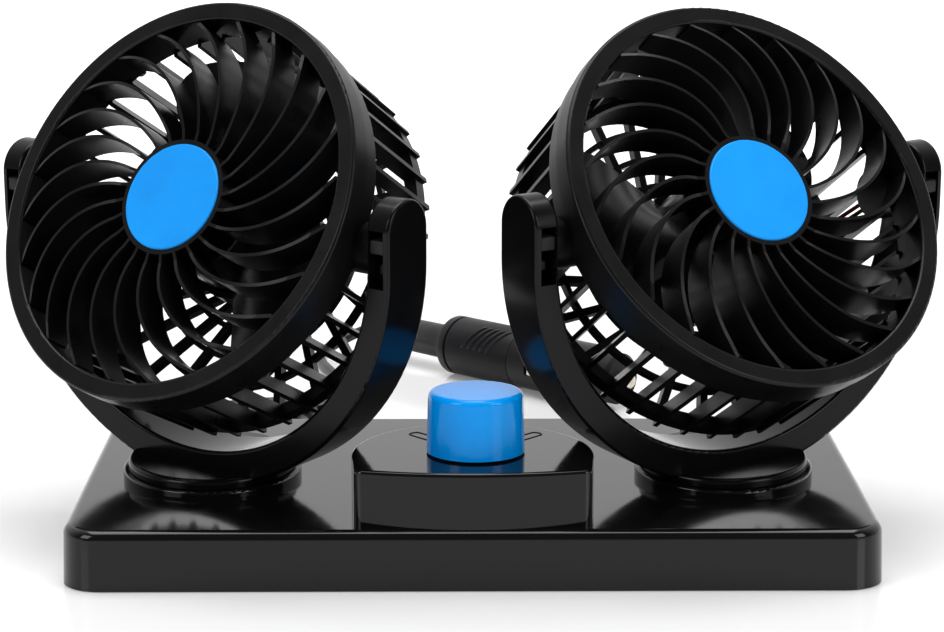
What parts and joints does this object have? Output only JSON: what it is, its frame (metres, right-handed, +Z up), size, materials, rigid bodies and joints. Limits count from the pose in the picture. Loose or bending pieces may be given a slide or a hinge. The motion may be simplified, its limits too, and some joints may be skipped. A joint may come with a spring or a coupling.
{
  "type": "dual head car fan",
  "caption": "Dashboard fan with two swivelling, tilting caged heads on one flat base, a blue speed knob and a corded 12 V plug.",
  "frame": {"origin": "middle of the adhesive pad's lower face, on the dashboard", "axes": "+Z up, -Y towards the driver, the side with the knob, +X to the right as seen from there"},
  "size_m": [0.2663, 0.2865, 0.1475],
  "materials": {
    "shell_plastic": "gloss",
    "yoke_plastic": "gloss",
    "grille_plastic": "satin",
    "cage_plastic": "satin",
    "impeller_plastic": "satin",
    "inner_plastic": "matte",
    "knob_blue": "gloss",
    "cap_blue": "satin",
    "foam_tape": "matte",
    "cord_rubber": "satin",
    "plug_plastic": "satin",
    "contact_brass": "satin",
    "screw_steel": "satin",
    "motor_steel": "satin",
    "magnet": "matte",
    "fuse_glass": "gloss",
    "ceramic": "matte",
    "wire_red": "satin",
    "wire_black": "satin"
  },
  "bodies": {
    "base": {"adhesive_pad": "foam_tape", "base_bottom_plate": "inner_plastic", "base_housing": "shell_plastic", "base_wires_black": "wire_black", "base_wires_red": "wire_red", "bottom_plate_screws": "screw_steel", "cord_strain_relief": "cord_rubber", "plug_barrel": "plug_plastic", "plug_contact_spring": "screw_steel", "plug_handle": "plug_plastic", "plug_side_contacts": "contact_brass", "plug_tip_cap": "plug_plastic", "power_cord_coil": "cord_rubber", "power_cord_lead": "cord_rubber", "power_cord_tail": "cord_rubber", "speed_resistor": "ceramic", "switch_body": "inner_plastic", "switch_nut": "screw_steel"},
    "knob": {"knob": "knob_blue", "switch_shaft": "screw_steel"},
    "plug_tip": {"plug_centre_contact": "contact_brass", "plug_fuse": "fuse_glass"},
    "left_yoke": {"left_yoke": "yoke_plastic", "left_yoke_cable": "cord_rubber", "left_swivel_retainer": "inner_plastic", "left_swivel_screws": "screw_steel"},
    "left_rotor": {"left_impeller": "impeller_plastic", "left_motor_shaft": "motor_steel", "left_armature": "motor_steel"},
    "left_head": {"left_front_grille": "grille_plastic", "left_housing_screws": "screw_steel", "left_hub_cap": "cap_blue", "left_motor_bushes": "contact_brass", "left_motor_can": "motor_steel", "left_motor_end_cap": "inner_plastic", "left_motor_lead_black": "wire_black", "left_motor_lead_red": "wire_red", "left_motor_magnets": "magnet", "left_rear_cage": "cage_plastic", "left_tilt_pivots": "cage_plastic"},
    "right_yoke": {"right_yoke": "yoke_plastic", "right_yoke_cable": "cord_rubber", "right_swivel_retainer": "inner_plastic", "right_swivel_screws": "screw_steel"},
    "right_rotor": {"right_impeller": "impeller_plastic", "right_motor_shaft": "motor_steel", "right_armature": "motor_steel"},
    "right_head": {"right_front_grille": "grille_plastic", "right_housing_screws": "screw_steel", "right_hub_cap": "cap_blue", "right_motor_bushes": "contact_brass", "right_motor_can": "motor_steel", "right_motor_end_cap": "inner_plastic", "right_motor_lead_black": "wire_black", "right_motor_lead_red": "wire_red", "right_motor_magnets": "magnet", "right_rear_cage": "cage_plastic", "right_tilt_pivots": "cage_plastic"}
  },
  "joints": [
    {"name": "knob_turn", "type": "hinge", "parent": "base", "child": "knob", "pos_m": [0.0008, -0.0371, 0.0318], "axis": [0, 0, 1], "range_deg": [-45, 45]},
    {"name": "plug_tip_press", "type": "slide", "parent": "base", "child": "plug_tip", "axis": [-0.7071, 0.7071, 0], "range_m": [0, 0.0018], "stiffness_N_per_m": 600, "springref_m": -0.003},
    {"name": "left_swivel", "type": "hinge", "parent": "base", "child": "left_yoke", "pos_m": [-0.0725, -0.0046, 0.0194], "axis": [0, -0.0598, 0.9982], "range_deg": [-143.96, 216.04]},
    {"name": "left_tilt", "type": "hinge", "parent": "left_yoke", "child": "left_head", "pos_m": [-0.0725, -0.00884, 0.09007], "axis": [-0.8086, 0.5873, 0.0352], "range_deg": [-76.39, 58.61]},
    {"name": "left_spin", "type": "hinge", "parent": "left_head", "child": "left_rotor", "pos_m": [-0.0725, -0.00884, 0.09007], "axis": [-0.5022, -0.7202, 0.4786], "continuous": true},
    {"name": "right_swivel", "type": "hinge", "parent": "base", "child": "right_yoke", "pos_m": [0.0705, -0.0046, 0.0194], "axis": [0, -0.0598, 0.9982], "range_deg": [-211.43, 148.57]},
    {"name": "right_tilt", "type": "hinge", "parent": "right_yoke", "child": "right_head", "pos_m": [0.0705, -0.00884, 0.09007], "axis": [-0.8533, -0.5205, -0.0312], "range_deg": [-83.05, 51.95]},
    {"name": "right_spin", "type": "hinge", "parent": "right_head", "child": "right_rotor", "pos_m": [0.0705, -0.00884, 0.09007], "axis": [0.4106, -0.7076, 0.575], "continuous": true}
  ]
}
